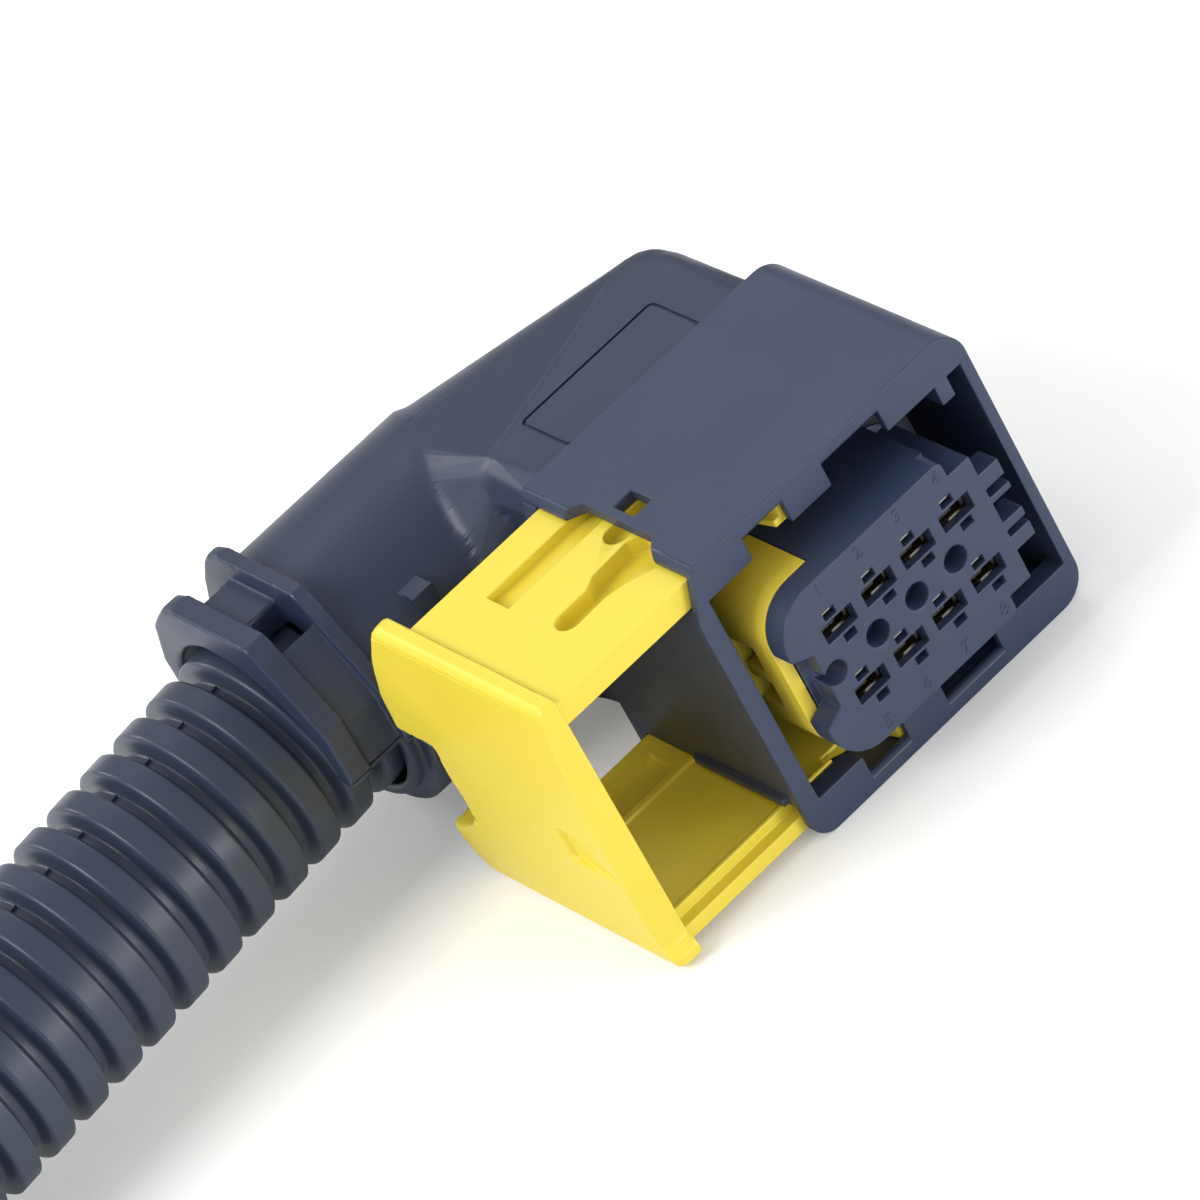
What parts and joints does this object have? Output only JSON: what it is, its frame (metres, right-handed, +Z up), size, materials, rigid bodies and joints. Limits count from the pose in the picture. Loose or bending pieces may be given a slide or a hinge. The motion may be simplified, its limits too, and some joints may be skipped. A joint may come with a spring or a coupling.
{
  "type": "automotive plug connector with cam slide",
  "caption": "Sealed rectangular wiring plug with a pull-out cam locking slide, a keyed contact block, a right-angle two-piece cable cover and a corrugated conduit.",
  "frame": {"origin": "middle of the hood's flat base, where the connector rests", "axes": "+X to the right seen from the mating side, with the slide and conduit leaving along -X; the mating face looks along -Y; +Z up"},
  "size_m": [0.1767, 0.0628, 0.033],
  "materials": {
    "housing_plastic": "fine moulded texture",
    "block_plastic": "fine moulded texture",
    "cover_plastic": "fine moulded texture",
    "slide_plastic": "satin",
    "lock_plastic": "satin",
    "contact_metal": "tin plated",
    "seal_rubber": "matt silicone",
    "wire_seal_rubber": "matt silicone",
    "wire_insulation": "smooth",
    "conduit_plastic": "satin"
  },
  "bodies": {
    "plug": {"plug_housing": "housing_plastic", "contact_block": "block_plastic", "cover_upper": "cover_plastic", "cover_lower": "cover_plastic", "secondary_lock": "lock_plastic", "interface_seal": "seal_rubber", "conduit": "conduit_plastic", "contact_1": "contact_metal", "contact_2": "contact_metal", "contact_3": "contact_metal", "contact_4": "contact_metal", "contact_5": "contact_metal", "contact_6": "contact_metal", "contact_7": "contact_metal", "contact_8": "contact_metal", "wire_seal_1": "wire_seal_rubber", "wire_seal_2": "wire_seal_rubber", "wire_seal_3": "wire_seal_rubber", "wire_seal_4": "wire_seal_rubber", "wire_seal_5": "wire_seal_rubber", "wire_seal_6": "wire_seal_rubber", "wire_seal_7": "wire_seal_rubber", "wire_seal_8": "wire_seal_rubber", "wire_1": "wire_insulation", "wire_2": "wire_insulation", "wire_3": "wire_insulation", "wire_4": "wire_insulation", "wire_5": "wire_insulation", "wire_6": "wire_insulation", "wire_7": "wire_insulation", "wire_8": "wire_insulation"},
    "slide": {"locking_slide": "slide_plastic"}
  },
  "joints": [
    {"name": "slide_push", "type": "slide", "parent": "plug", "child": "slide", "axis": [1, 0, 0], "range_m": [0, 0.014]}
  ]
}
